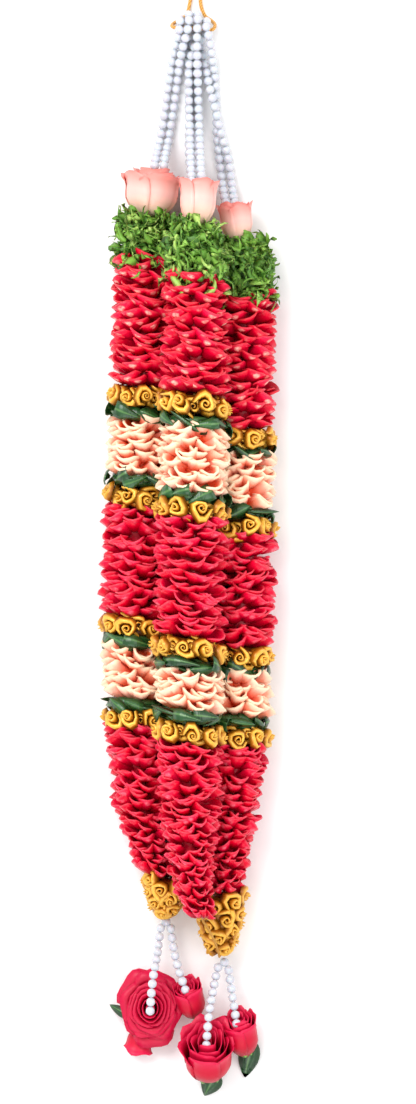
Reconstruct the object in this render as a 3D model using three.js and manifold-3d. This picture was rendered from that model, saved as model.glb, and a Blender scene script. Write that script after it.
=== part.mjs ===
// Rose wedding garland: two garlands of folded petals, each doubled into a long U, hung by necks
// of pearl beads over one loop of yellow cord. The bundle lies on a table as it was taken down.
// Millimetres. +X is right, +Y runs up to the crown of the beads, +Z is up from the table.
import * as THREE from "three";
import { mergeVertices } from "three/addons/utils/BufferGeometryUtils.js";
import Module from "manifold-3d";

const wasm = await Module();
wasm.setup();

// ---- Driving dimensions -------------------------------------------------------------------

const CROWN_Y = 543.5; // the top of the beads; every "drop" is measured down from here
const COLUMN_R = 36; // a column of petals
const BORE_R = 4.5; // the hole down the middle of each column
const THREAD_R = 1.2; // the core thread in that hole
const BEAD_TUBE_R = 4; // the sleeve that a string of pearls fills
const CORD_R = 1.8; // the yellow hanging cord
const COLUMN_GAP = 0.6; // between columns that press on each other
const GAP = 0.35; // between pieces that touch end to end
const EDGE = 5; // how far the end petals of a stack fold over
const SIDES = 12; // faces round a column or a flower
const ROW_STEP = 36; // longest straight stretch of a bent column

const RED = 0xd81844;
const DEEP_RED = 0xb80f32;
const PEACH = 0xf2b5a0;
const GOLD = 0xc8922a;
const LEAF = 0x2f7a3a;
const PINK = 0xf0a8a0;
const PEARL = 0xe6eaf4;
const THREAD = 0xeeeae0;
const CORD = 0xe0a848;

// Each column: its middle across and above the table, how fast its rings fall towards +X, and
// the drops at which its nine stacks change over, from the first red stack to the last one.
const COLUMNS = {
  left: {
    x: -50,
    z: 33,
    slope: 0.08,
    collar: 206,
    cuts: [248, 377, 413, 467, 498, 610, 640, 692, 720, 866],
  },
  back: {
    x: 0,
    z: 30,
    slope: 0.08,
    collar: 222,
    cuts: [257, 387, 420, 478, 508, 622, 654, 700, 731, 866],
  },
  front: {
    x: 2.5,
    z: 85,
    slope: 0.12,
    collar: 217,
    cuts: [268, 385, 422, 485, 510, 628, 663, 702, 736, 908],
  },
  right: {
    x: 50,
    z: 33,
    slope: 0.05,
    collar: 230,
    cuts: [282, 419, 449, 498, 527, 638, 669, 708, 736, 884],
  },
};

const STACKS = [
  ["red_petals_1", RED],
  ["band_1", GOLD],
  ["peach_petals_1", PEACH],
  ["band_2", GOLD],
  ["red_petals_2", RED],
  ["band_3", GOLD],
  ["peach_petals_2", PEACH],
  ["band_4", GOLD],
  ["red_petals_3", RED],
];

// Where the bundle's middle line runs, and how far the outer columns stand apart compared with
// COLUMNS, as [drop, value].
const MIDDLE = [
  [0, 4],
  [290, 4],
  [440, 1],
  [550, -2],
  [690, -3],
  [780, -3],
  [850, -1],
  [878, 1],
  [908, 10],
];
const SPREAD = [
  [0, 0.95],
  [290, 0.96],
  [550, 1.02],
  [690, 0.99],
  [790, 0.9],
  [850, 0.74],
  [900, 0.6],
];

// The pink roses at the heads: mouth and base as [x, drop, z], and the radius of the mouth.
const PINK_ROSES = {
  left: { mouth: [-35.5, 157, 33], base: [-41, 204, 33], radius: 25 },
  back: { mouth: [7, 175, 22], base: [4.5, 219, 28], radius: 16.5 },
  front: { mouth: [9, 175, 82], base: [6, 213, 85], radius: 19 },
  right: { mouth: [44.5, 195, 31], base: [50, 227.5, 33], radius: 17 },
};

const CROWN_Z = 14.3; // the middle of the turn that each neck makes over the cord
const TURN_R = 7.5;

// The neck strings, as [x, drop, z], from the garland's one head to its other head. The turn over
// the cord sits between the two lists.
const NECKS = [
  {
    turn: [-10, 8],
    up: [
      [-35, 153.5, 31],
      [-34, 147, 24],
      [-32, 137, 12.5],
      [-29.4, 124, 4.8],
      [-26.9, 107, 4.3],
      [-21.4, 68, 4.3],
      [-18.6, 53, 4.3],
      [-16.4, 43, 6.5],
      [-13, 30, 13.5],
      [-11.4, 22, 20],
    ],
    down: [
      [-9, 22, 6],
      [-6.6, 32, 4.7],
      [-1.6, 60, 4.3],
      [-1, 95, 4.3],
      [-1, 140, 4.3],
      [0, 157, 9],
      [1.4, 171.5, 18.5],
    ],
  },
  {
    turn: [-1.2, 4],
    up: [
      [-25.8, 153.5, 31],
      [-24.8, 147, 24],
      [-22.9, 137, 12.5],
      [-20.6, 124, 4.8],
      [-18, 107, 4.3],
      [-14.4, 82, 4.3],
      [-12, 65, 5.5],
      [-10.2, 50, 11],
      [-7, 36, 17.8],
      [-3, 22, 21.8],
    ],
    down: [
      [-0.2, 22, 5.4],
      [3.4, 38, 4.4],
      [7.2, 62, 4.3],
      [8, 95, 4.3],
      [8, 140, 4.3],
      [9, 157, 9],
      [10.3, 171.5, 18.5],
    ],
  },
  {
    turn: [7.6, 4],
    up: [
      [11.4, 171, 75],
      [10.6, 159, 61],
      [9.9, 140, 40],
      [9.2, 118, 22.5],
      [8.7, 98, 13.8],
      [8.1, 80, 13.3],
      [7.2, 55, 17.5],
      [6.9, 32, 22.8],
      [7.2, 20, 22.8],
    ],
    down: [
      [7.8, 20, 4.7],
      [9.8, 28, 4.3],
      [12.8, 41, 4.3],
      [15.3, 56, 6],
      [18.2, 71, 10.2],
      [20.9, 83, 12.4],
      [25, 98, 13.4],
      [29.8, 118, 13.2],
      [33.4, 131, 10.8],
      [37.2, 143, 5.8],
      [39.6, 156, 5],
      [41.6, 172, 10],
      [43.2, 185, 21],
      [44.2, 190.5, 27],
    ],
  },
  {
    turn: [16.4, 11],
    up: [
      [35.1, 190.5, 27],
      [33.9, 185, 21],
      [32, 172, 10],
      [30.2, 157, 5],
      [28.4, 141, 4.3],
      [26.8, 122, 4.3],
      [26.5, 100, 4.3],
      [25.6, 80, 4.3],
      [24.9, 64, 5.6],
      [22.6, 50, 13],
      [20.8, 36, 19.5],
      [18.4, 25, 22],
    ],
    down: [
      [14.8, 24.4, 11.4],
      [10, 30, 13.2],
      [5, 36, 13.6],
      [0.4, 48, 12.9],
      [-1.2, 62, 12.8],
      [-1, 98, 13.6],
      [-0.4, 118, 22.5],
      [0.2, 140, 40],
      [1, 159, 61],
      [1.8, 171, 75],
    ],
  },
];

// The yellow cord: up through the four turns and back to its knot beyond the crown.
const CORD_ROUTE = [
  [5, -32.4, 2.8],
  [1.2, -17, 2.2],
  [-0.8, -6, 2.2],
  [-3.4, 3, 2.2],
  [-9, 8, 2.2],
  [-15.6, 11.5, 3.6],
  [-18.4, 14.6, 8.6],
  [-16.4, 16.6, 13.6],
  [-10, 17.2, 14.3],
  [-1.2, 17, 14.3],
  [7.6, 17.6, 14.3],
  [16.4, 18.4, 14.5],
  [22.6, 18.8, 13],
  [25, 14, 8.2],
  [21.6, 9.4, 3.4],
  [15.6, 5.2, 2.2],
  [11.6, -3, 2.2],
  [9.6, -17, 2.2],
  [7.6, -32.4, 2.8],
];
const KNOT = { x: 6.3, drop: -34, z: 4.2, radius: 4 };

// The gold pendants: top and tip as [x, drop, z], with their radii.
const PENDANTS = {
  left: { top: [-23, 876, 28], tip: [-27, 907, 24], radius: 24.5 },
  right: { top: [30, 893, 28], tip: [30, 946, 26], radius: 26.5 },
};
const PENDANT_TIP_R = 8;

// The core threads beyond the columns, as [x, drop, z]: each goes down its pendant, turns round
// the tip and climbs back outside it.
const TIP_TURNS = [
  [
    [-33, 868.4, 32],
    [-26, 872.6, 29],
    [-23.4, 877, 27.9],
    [-25, 891, 26],
    [-27, 906, 24],
    [-26.2, 910, 24.4],
    [-22, 911.6, 25],
    [-15, 908, 26],
    [-5, 896, 28],
    [4.8, 884, 30],
    [5, 876, 30],
    [2, 869.4, 30],
  ],
  [
    [35, 887, 31.8],
    [31.4, 889.8, 29],
    [30.1, 894.6, 28],
    [30, 920, 27],
    [30, 945, 26],
    [29.9, 949.4, 27.6],
    [29.4, 950, 33],
    [28.6, 946, 39],
    [25, 934, 56],
    [18, 920, 73],
    [13.4, 913, 81],
  ],
];

// The strings under the pendants, as [x, drop, z], from one red rose over the tip to the other.
const PENDANT_STRINGS = [
  [
    [-39.6, 999, 48],
    [-38.6, 985, 51],
    [-36.6, 968, 47],
    [-33.4, 950, 34],
    [-31.4, 935, 22],
    [-29.4, 921, 18],
    [-27.4, 916.4, 18],
    [-22.4, 915.8, 18],
    [-19.9, 920, 18],
    [-18, 932, 17],
    [-15.4, 948, 19],
    [-11, 965, 25],
    [-6.2, 979, 30],
  ],
  [
    [16.7, 1033.2, 45.5],
    [17.6, 1020, 48],
    [19.4, 1004, 43],
    [22.2, 988, 33],
    [25, 974, 24],
    [27.2, 965, 19.5],
    [29.2, 958.6, 18],
    [33, 955.6, 18],
    [37, 958.6, 18],
    [39.6, 970, 17.5],
    [41.6, 984, 20],
    [43.8, 998, 26],
    [46.1, 1012.8, 32.7],
  ],
];

// ---- Helpers ------------------------------------------------------------------------------

function smoothThrough(table, drop) {
  const after = table.findIndex(([d]) => d >= drop);
  if (after < 1) return after === 0 ? table[0][1] : table.at(-1)[1];
  const [fromDrop, fromValue] = table[after - 1];
  const [toDrop, toValue] = table[after];
  const t = (drop - fromDrop) / (toDrop - fromDrop);
  return THREE.MathUtils.lerp(fromValue, toValue, t * t * (3 - 2 * t));
}

function place([x, drop, z]) {
  return new THREE.Vector3(x, CROWN_Y - drop, z);
}

// A closed geometry as a manifold-3d solid, for cutting and joining.
function solidOf(geometry) {
  const bare = geometry.clone();
  bare.deleteAttribute("normal");
  bare.deleteAttribute("uv");
  const merged = mergeVertices(bare, 1e-3);
  return new wasm.Manifold(
    new wasm.Mesh({
      numProp: 3,
      vertProperties: merged.attributes.position.array,
      triVerts: new Uint32Array(merged.index.array),
    }),
  );
}

function geometryOf(solid) {
  const { vertProperties, triVerts } = solid.getMesh();
  const geometry = new THREE.BufferGeometry();
  geometry.setAttribute("position", new THREE.BufferAttribute(vertProperties, 3));
  geometry.setIndex(new THREE.BufferAttribute(triVerts, 1));
  return geometry;
}

function piece(name, geometry, color, roughness = 0.6) {
  geometry.computeVertexNormals();
  const material = new THREE.MeshStandardMaterial({ color, roughness, metalness: 0 });
  const mesh = new THREE.Mesh(geometry, material);
  mesh.name = name;
  return mesh;
}

function lathe(profile, turned = 0) {
  const points = profile.map(([r, h]) => new THREE.Vector2(r, h));
  return new THREE.LatheGeometry(points, SIDES, turned);
}

// A lathe whose profile climbs from the point base to the point tip.
function turnedBetween(profile, base, tip) {
  const foot = place(base);
  const axis = place(tip).sub(foot).normalize();
  const turn = new THREE.Quaternion().setFromUnitVectors(new THREE.Vector3(0, 1, 0), axis);
  const geometry = lathe(profile);
  geometry.applyQuaternion(turn);
  geometry.translate(foot.x, foot.y, foot.z);
  return geometry;
}

// A tube through points, with as many steps between one pair of them as between the next, so that
// the tight turns, where they are close together, have the short steps.
function tube(points, radius, stepsBetween) {
  const curve = new THREE.CatmullRomCurve3(points.map(place));
  curve.getUtoTmapping = (u) => u;
  const steps = stepsBetween * (points.length - 1);
  const section = new THREE.Shape();
  for (let i = 0; i < TUBE_SIDES; i++) {
    const angle = (2 * Math.PI * i) / TUBE_SIDES;
    const x = radius * Math.cos(angle);
    const y = radius * Math.sin(angle);
    if (i) section.lineTo(x, y);
    else section.moveTo(x, y);
  }
  section.closePath();
  return new THREE.ExtrudeGeometry(section, { steps, extrudePath: curve, bevelEnabled: false });
}

// ---- Columns ------------------------------------------------------------------------------

// The parts of a straight column that its neighbours and the table take away.
function pressed(solid, name) {
  const own = COLUMNS[name];
  let cut = solid.trimByPlane([0, 0, 1], 0);
  for (const [other, { x, z }] of Object.entries(COLUMNS)) {
    const apart = new THREE.Vector2(own.x - x, own.z - z);
    if (other === name || apart.length() > 2 * COLUMN_R) continue;
    const half = new THREE.Vector2(own.x + x, own.z + z).divideScalar(2);
    const normal = apart.normalize();
    cut = cut.trimByPlane([normal.x, 0, normal.y], normal.dot(half) + COLUMN_GAP / 2);
  }
  return cut;
}

// One stack of a column: turned straight, pressed by its neighbours, then bent with the bundle.
function stack(name, from, to, topRadius, endRadius) {
  const { x, z, slope } = COLUMNS[name];
  const start = from + GAP / 2;
  const end = to - GAP / 2;
  const rows = Math.max(1, Math.round((end - start) / ROW_STEP));
  const outside = [];
  const bore = [];
  for (let i = 0; i <= rows; i++) {
    const down = end - (i / rows) * (end - start);
    const edge = i === 0 ? -1 : i === rows ? 1 : 0;
    const radius = THREE.MathUtils.lerp(endRadius, topRadius, i / rows);
    outside.push([radius, -down - edge * EDGE]);
    if (edge === -1) outside.unshift([radius - EDGE, -down]);
    if (edge === 1) outside.push([radius - EDGE, -down]);
    bore.unshift([BORE_R, -down]);
  }
  const profile = [bore.at(-1), ...outside, ...bore];
  const straight = lathe(profile, Math.PI / SIDES).translate(x, 0, z);
  const geometry = geometryOf(pressed(solidOf(straight), name));
  const points = geometry.attributes.position;
  for (let i = 0; i < points.count; i++) {
    const drop = -points.getY(i) + slope * (points.getX(i) - x);
    const across = smoothThrough(MIDDLE, drop) + smoothThrough(SPREAD, drop) * points.getX(i);
    points.setXYZ(i, across, CROWN_Y - drop, points.getZ(i));
  }
  return geometry;
}

function columnMiddle(name, drop) {
  const { x, z } = COLUMNS[name];
  return [smoothThrough(MIDDLE, drop) + smoothThrough(SPREAD, drop) * x, drop, z];
}

const COLLAR_TOP_R = 14;
const COLLAR_R = 34;
const LAST_END_R = 29; // the last petals close in on the pendant

function column(name) {
  const { collar, cuts } = COLUMNS[name];
  const group = new THREE.Group();
  const leaves = stack(name, collar, cuts[0], COLLAR_TOP_R, COLLAR_R);
  group.add(piece(`${name}_greenery`, leaves, LEAF));
  STACKS.forEach(([kind, color], i) => {
    const endRadius = i === STACKS.length - 1 ? LAST_END_R : COLUMN_R;
    const petals = stack(name, cuts[i], cuts[i + 1], COLUMN_R, endRadius);
    group.add(piece(`${name}_${kind}`, petals, color));
  });
  const rose = PINK_ROSES[name];
  group.add(piece(`${name}_rose`, pinkRose(rose), PINK));
  return group;
}

function pinkRose({ mouth, base, radius }) {
  const length = place(mouth).distanceTo(place(base));
  const profile = [
    [0, 0],
    [8, 0],
    [radius * 0.72, length * 0.3],
    [radius, length * 0.7],
    [radius * 0.92, length],
    [0, length],
  ];
  return turnedBetween(profile, base, mouth);
}

// ---- Strings, cord and threads --------------------------------------------------------------

const TUBE_SIDES = 8;
const STRING_STEPS = 2; // steps between two points of a string of pearls or of the cord
const THREAD_STEPS = 1;
const THREAD_EVERY = 42; // the reach of one straight piece of core thread in a column

// The half turn over the cord, from its upper leg to its lower one.
function turnOver([x, peak]) {
  const lean = TURN_R * Math.SQRT1_2;
  return [
    [x, peak + TURN_R, CROWN_Z + TURN_R],
    [x, peak + TURN_R - lean, CROWN_Z + lean],
    [x, peak, CROWN_Z],
    [x, peak + TURN_R - lean, CROWN_Z - lean],
    [x, peak + TURN_R, CROWN_Z - TURN_R],
  ];
}

function neck({ up, turn, down }) {
  return tube([...up, ...turnOver(turn), ...down], BEAD_TUBE_R, STRING_STEPS);
}

function hangingCord() {
  const knot = new THREE.SphereGeometry(KNOT.radius, 8, 6);
  const middle = place([KNOT.x, KNOT.drop, KNOT.z]);
  knot.translate(middle.x, middle.y, middle.z);
  const loop = tube(CORD_ROUTE, CORD_R, STRING_STEPS);
  return geometryOf(solidOf(loop).add(solidOf(knot)));
}

// A core thread from the head of one column to the pendant's tip and up another column.
function coreThread(down, up, turn) {
  const run = (name) => {
    const points = [];
    const end = COLUMNS[name].cuts.at(-1);
    for (let drop = COLUMNS[name].collar + 2; drop < end - BORE_R; drop += THREAD_EVERY) {
      points.push(columnMiddle(name, drop));
    }
    points.push(columnMiddle(name, end));
    return points;
  };
  return tube([...run(down), ...turn, ...run(up).reverse()], THREAD_R, THREAD_STEPS);
}

// ---- Pendants and red roses -------------------------------------------------------------------

function pendant({ top, tip, radius }) {
  const length = place(top).distanceTo(place(tip));
  const profile = [
    [BORE_R, 0],
    [PENDANT_TIP_R, 0],
    [radius * 0.8, length * 0.55],
    [radius, length * 0.88],
    [radius * 0.85, length],
    [BORE_R, length],
    [BORE_R, 0],
  ];
  return turnedBetween(profile, tip, top);
}

// A red rose: a turned cup with its calyx at base and its petals open towards mouth.
function cup(base, mouth, radius, opening) {
  const length = place(mouth).distanceTo(place(base));
  return turnedBetween(
    [
      [0, 0],
      [radius * 0.3, 0],
      [radius * 0.72, length * 0.2],
      [radius, length * 0.5],
      [radius * opening, length],
      [0, length * 0.94],
    ],
    base,
    mouth,
  );
}

// A leaf: a flat pointed blade from its stalk to its tip.
function leaf(from, to, width, thick) {
  const start = place(from);
  const along = place(to).sub(start);
  const length = along.length();
  const outline = new THREE.Shape();
  outline.moveTo(0, -width * 0.12);
  outline.quadraticCurveTo(length * 0.35, -width * 0.75, length, 0);
  outline.quadraticCurveTo(length * 0.35, width * 0.75, 0, width * 0.12);
  outline.closePath();
  const blade = new THREE.ExtrudeGeometry(outline, {
    depth: thick,
    bevelEnabled: false,
    curveSegments: 6,
  });
  blade.translate(0, 0, -thick / 2);
  const turn = new THREE.Quaternion().setFromUnitVectors(
    new THREE.Vector3(1, 0, 0),
    along.normalize(),
  );
  blade.applyQuaternion(turn);
  return blade.translate(start.x, start.y, start.z);
}

function openRose() {
  const profile = [
    [0, 0],
    [11, 0],
    [19, 8],
    [28, 24],
    [30, 33],
    [25, 40],
    [9, 36],
    [0, 33],
  ];
  const flower = lathe(profile);
  flower.rotateX(Math.PI / 2);
  flower.scale(1, 1.18, 1);
  const { x, y } = place([-40, 1002, 0]);
  flower.translate(x, y, 0);
  return flower;
}

function joined(...geometries) {
  return geometryOf(geometries.map(solidOf).reduce((all, one) => all.add(one)));
}

function redRoses() {
  const second = cup([4.5, 1012, 10], [-4.2, 984, 27], 12, 0.86);
  const third = joined(
    cup([19, 1072, 17], [17, 1038, 42], 21, 0.86),
    leaf([20, 1068, 14], [18, 1087.5, 5], 20, 2.4),
  );
  const fourth = joined(
    cup([56, 1050, 13.4], [47.5, 1018, 30], 14, 0.9),
    leaf([55, 1044, 9], [58, 1069, 3], 22, 2.4),
  );
  return [openRose(), second, third, fourth].map((flower, i) =>
    piece(`red_rose_${i + 1}`, flower, DEEP_RED),
  );
}

// ---- The garland ---------------------------------------------------------------------------

const garland = new THREE.Group();
for (const name of Object.keys(COLUMNS)) garland.add(column(name));
NECKS.forEach((route, i) => garland.add(piece(`neck_string_${i + 1}`, neck(route), PEARL, 0.3)));
garland.add(piece("hanging_cord", hangingCord(), CORD, 0.8));
garland.add(piece("core_thread_1", coreThread("left", "back", TIP_TURNS[0]), THREAD, 0.8));
garland.add(piece("core_thread_2", coreThread("right", "front", TIP_TURNS[1]), THREAD, 0.8));
for (const [side, shape] of Object.entries(PENDANTS)) {
  garland.add(piece(`${side}_pendant`, pendant(shape), GOLD, 0.4));
}
PENDANT_STRINGS.forEach((route, i) => {
  const string = tube(route, BEAD_TUBE_R, STRING_STEPS);
  garland.add(piece(`pendant_string_${i + 1}`, string, PEARL, 0.3));
});
garland.add(...redRoses());

export default garland;
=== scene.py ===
# %% [markdown]
# # A rose wedding garland
# Two garlands hang over one loop of yellow cord. Each one is a long U of folded petals, so four
# columns of petals lie side by side. The whole bundle is laid down on a table. The frame that is
# loaded first holds the solid of every piece, and each finished piece stands for one of them.

# %% Load the frame
import math
import random
import bmesh
import bpy
from mathutils import Matrix, Vector


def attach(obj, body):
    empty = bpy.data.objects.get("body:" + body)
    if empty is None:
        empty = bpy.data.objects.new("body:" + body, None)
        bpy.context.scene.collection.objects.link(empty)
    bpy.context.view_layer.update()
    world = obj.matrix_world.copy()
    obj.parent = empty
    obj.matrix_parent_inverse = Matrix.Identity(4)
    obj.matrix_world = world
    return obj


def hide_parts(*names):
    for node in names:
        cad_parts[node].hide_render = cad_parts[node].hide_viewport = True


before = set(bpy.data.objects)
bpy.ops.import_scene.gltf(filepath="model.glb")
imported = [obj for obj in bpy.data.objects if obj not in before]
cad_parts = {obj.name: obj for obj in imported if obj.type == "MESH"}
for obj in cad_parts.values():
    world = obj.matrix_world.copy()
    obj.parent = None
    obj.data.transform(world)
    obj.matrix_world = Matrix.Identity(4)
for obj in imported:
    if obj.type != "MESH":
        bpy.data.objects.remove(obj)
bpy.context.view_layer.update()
MM = 0.001
CROWN_Y = 543.5  # where drops are measured from, in mm
FLOOR = 0.0004  # the lowest that a pressed piece goes, in metres
ROUND = 6.3  # a whole turn in radians, for random turns
print("solids in the frame:", len(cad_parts))

# %% [markdown]
# ## Camera, table and light
# A long lens far above the table shows the bundle with hardly any perspective. The table is one
# pale sheet. Three broad lamps and a bright sky keep the shadows soft, as under an overcast sky.

# %% Camera and table
eye = bpy.data.objects.new("camera", bpy.data.cameras.new("camera"))
eye.data.lens = 300
eye.data.sensor_width = 36
eye.data.clip_end = 50
eye.location = (0.018, -0.0005, 9.26)
bpy.context.collection.objects.link(eye)
bpy.context.scene.camera = eye

table_mesh = bmesh.new()
bmesh.ops.create_grid(table_mesh, x_segments=1, y_segments=1, size=6)
TABLE_TOP = -0.0012  # just under the lowest petal
bmesh.ops.translate(table_mesh, verts=table_mesh.verts, vec=(0, 0, TABLE_TOP))
table = bpy.data.objects.new("table", bpy.data.meshes.new("table"))
table_mesh.to_mesh(table.data)
table_mesh.free()
bpy.context.collection.objects.link(table)

# %% Lamps
# Each lamp: its place, its size in metres and its power in watts.
LAMPS = {
    "key": ((-1.3, 1.5, 2.6), 1.9, 80),
    "fill": ((1.7, 0.2, 2.4), 2.2, 32),
    "foot": ((-0.3, -2.2, 1.9), 2.0, 22),
}
for name, (place, size, watts) in LAMPS.items():
    lamp = bpy.data.objects.new(name, bpy.data.lights.new(name, "AREA"))
    lamp.data.size = size
    lamp.data.energy = watts
    lamp.location = place
    lamp.rotation_euler = (-Vector(place)).to_track_quat("-Z", "Y").to_euler()
    bpy.context.collection.objects.link(lamp)
sky = bpy.data.worlds.new("sky")
sky.use_nodes = True
glow = sky.node_tree.nodes["Background"].inputs
glow["Color"].default_value = (1, 1, 1, 1)
glow["Strength"].default_value = 0.8
bpy.context.scene.world = sky
bpy.context.scene.view_settings.view_transform = "Standard"
print("lamps:", ", ".join(LAMPS))

# %% [markdown]
# ## Writing a finish
# A finish is a material made of nodes. `Wire` stands for the number that leaves a node, so that
# `1 - mask` adds the Math node it needs. `Finish` holds one material: `node` adds any other
# node, and `feed` joins a wire to the shader. Numbers that are the same all over a piece go
# straight on the shader's own sockets.

# %% Wire and Finish
class Wire:
    """A value on its way through a finish."""

    def __init__(self, finish, socket):
        self.finish = finish
        self.socket = socket

    def maths(self, operation, first, second=0.0, clamp=False):
        settings = {"operation": operation, "use_clamp": clamp}
        return self.finish.node("Math", settings, {0: first, 1: second})

    def __add__(self, other):
        return self.maths("ADD", self, other)

    __radd__ = __add__

    def __sub__(self, other):
        return self.maths("SUBTRACT", self, other)

    def __rsub__(self, other):
        return self.maths("SUBTRACT", other, self)

    def __mul__(self, other):
        return self.maths("MULTIPLY", self, other)

    __rmul__ = __mul__

    def __truediv__(self, other):
        return self.maths("DIVIDE", self, other)

    def __abs__(self):
        return self.maths("ABSOLUTE", self)

    def held(self):
        """The value, kept between 0 and 1."""
        return self.maths("ADD", self, 0.0, clamp=True)


class Finish:
    """One material, with its shader's steady numbers given by name."""

    def __init__(self, name, **steady):
        self.material = bpy.data.materials.new(name)
        self.material.use_nodes = True
        self.tree = self.material.node_tree
        self.shader = self.tree.nodes["Principled BSDF"]
        for key, value in steady.items():
            self.shader.inputs[key.replace("_", " ")].default_value = value

    def node(self, kind, settings=None, sockets=None, output=0):
        """Adds a node: its settings first, then the values or wires of its sockets."""
        made = self.tree.nodes.new("ShaderNode" + kind)
        for key, value in (settings or {}).items():
            setattr(made, key, value)
        for key, value in (sockets or {}).items():
            socket = made.inputs[key]
            if isinstance(value, Wire):
                self.tree.links.new(value.socket, socket)
            else:
                socket.default_value = value
        return Wire(self, made.outputs[output])

    def value(self, name):
        """A number that the piece's own mesh carries."""
        return self.node("Attribute", {"attribute_name": name}, output=2)

    def place(self):
        """Where the shaded point is on its object."""
        return self.node("TexCoord", output="Object")

    def noise(self, scale, detail=2.0, stretch=None):
        """A soft random pattern, `scale` patches to the metre."""
        where = self.place()
        if stretch:
            where = self.node("Mapping", None, {"Vector": where, "Scale": stretch})
        return self.node("TexNoise", None, {"Vector": where, "Scale": scale, "Detail": detail})

    def mix(self, amount, first, second):
        """One colour on its way into another. The numbers are the Mix node's colour sockets."""
        sockets = {0: amount, 6: first, 7: second}
        return self.node("Mix", {"data_type": "RGBA"}, sockets, output=2)

    def feed(self, name, wire):
        self.tree.links.new(wire.socket, self.shader.inputs[name])

    def bump(self, height, strength, distance):
        sockets = {"Height": height, "Strength": strength, "Distance": distance}
        self.feed("Normal", self.node("Bump", None, sockets))


def paint(*levels):
    """A colour as painters' charts give it, 0 to 255, made linear for the shader."""
    shares = [level / 255 for level in levels]
    return (*[c / 12.92 if c < 0.04 else ((c + 0.055) / 1.055) ** 2.4 for c in shares], 1.0)


tabletop = Finish("tabletop", Roughness=0.75)
tabletop.feed("Base Color", tabletop.mix(
    tabletop.noise(6), paint(244, 244, 244), paint(250, 250, 250)))
table.data.materials.append(tabletop.material)

# %% [markdown]
# ## From a mesh to a piece
# Every piece ends the same way: its mesh becomes an object at the origin, rides on the frame's
# one body, and takes the place of its solid. `along`, `across`, `inside` and `tint` are numbers
# kept at each vertex, which the finishes read. Two tools make most shapes: `lathed` turns an
# outline round an axis with spin, and `draw_out` pulls a face along a path with extrude.

# %% Piece helpers
MARKS = ("along", "across", "inside", "tint")


def new_shape():
    """An empty mesh whose vertices can carry the marks."""
    shape = bmesh.new()
    for name in MARKS:
        shape.verts.layers.float.new(name)
    return shape


def mark(shape, verts, **values):
    """Writes numbers on some vertices, by the names of the marks."""
    for name, value in values.items():
        layer = shape.verts.layers.float[name]
        for vert in verts:
            vert[layer] = value


def into_mesh(shape, name):
    """Turns a finished shape into a smooth mesh."""
    mesh = bpy.data.meshes.new(name)
    shape.to_mesh(mesh)
    shape.free()
    mesh.shade_smooth()
    return mesh


def add_copy(piece, pattern, where, tint):
    """Adds a pattern's mesh to a piece, moved by a matrix."""
    count = len(piece.verts)
    piece.from_mesh(pattern)
    piece.verts.ensure_lookup_table()
    added = piece.verts[count:]
    bmesh.ops.transform(piece, matrix=where, verts=added)
    mark(piece, added, tint=tint)


def off_the_table(piece):
    """Presses flat what would sink into the table."""
    for vert in piece.verts:
        vert.co.z = max(vert.co.z, FLOOR)


def settle(thing, name, nodes, finish, slot):
    """Makes an object of a mesh or a curve, and puts it in its solids' place."""
    data = into_mesh(thing, name) if isinstance(thing, bmesh.types.BMesh) else thing
    data.materials.append(finish.material)
    piece = bpy.data.objects.new(name, data)
    bpy.context.collection.objects.link(piece)
    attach(piece, "root")
    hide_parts(*nodes)
    return piece


def at(x, drop, z):
    """A place on the bundle: across, down from the crown and up from the table, in mm."""
    return Vector((x * MM, (CROWN_Y - drop) * MM, z * MM))


def sized(size):
    """A matrix that only scales."""
    return Matrix.Diagonal((size, size, size, 1))


def turned(axis_up, place, roll=0.0, size=1.0):
    """A matrix that stands a pattern's Z on a direction, at a place."""
    stand = Vector(axis_up).to_track_quat("Z", "Y").to_matrix().to_4x4()
    return Matrix.Translation(place) @ stand @ Matrix.Rotation(roll, 4, "Z") @ sized(size)


def lathed(shape, geom, axis, steps, near):
    """Turns an outline once round an axis, and merges points closer than `near`."""
    bmesh.ops.spin(shape, geom=geom, cent=(0, 0, 0), axis=axis, dvec=(0, 0, 0),
                   angle=math.tau, steps=steps, use_merge=True)
    bmesh.ops.remove_doubles(shape, verts=shape.verts, dist=near)
    bmesh.ops.recalc_face_normals(shape, faces=shape.faces)


def draw_out(shape, sections, acrosses):
    """Draws one face out through even steps of outlines, as a closed body."""
    along = shape.verts.layers.float["along"]
    across = shape.verts.layers.float["across"]
    face = shape.faces.new([shape.verts.new(point) for point in sections[0]])
    made = [list(face.verts)]
    for outline in sections[1:]:
        region = [face, *face.edges, *face.verts]
        result = bmesh.ops.extrude_face_region(shape, geom=region)
        face = next(g for g in result["geom"] if isinstance(g, bmesh.types.BMFace))
        for vert, point in zip(face.verts, outline):
            vert.co = point
        made.append(list(face.verts))
    for step, ring in enumerate(made):
        for vert, side in zip(ring, acrosses):
            vert[along] = step / (len(made) - 1)
            vert[across] = side
    bmesh.ops.recalc_face_normals(shape, faces=shape.faces)


# %% [markdown]
# ## The cords
# The yellow cord is a soft twisted rope of 3.6 mm. It comes from its knot, turns round the four
# necks of beads and goes back to the knot. A curve with a round bevel is the plainest way to make
# a rope. The routes repeat the points that the solids were made from. A point is across, down
# from the crown and up from the table, in mm.

# %% Routes
CORD_ROUTE = [
    (5, -32.4, 2.8), (1.2, -17, 2.2), (-0.8, -6, 2.2), (-3.4, 3, 2.2), (-9, 8, 2.2),
    (-15.6, 11.5, 3.6), (-18.4, 14.6, 8.6), (-16.4, 16.6, 13.6), (-10, 17.2, 14.3),
    (-1.2, 17, 14.3), (7.6, 17.6, 14.3), (16.4, 18.4, 14.5), (22.6, 18.8, 13), (25, 14, 8.2),
    (21.6, 9.4, 3.4), (15.6, 5.2, 2.2), (11.6, -3, 2.2), (9.6, -17, 2.2), (7.6, -32.4, 2.8),
]
KNOT = (6.3, -34, 4.2)
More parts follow.
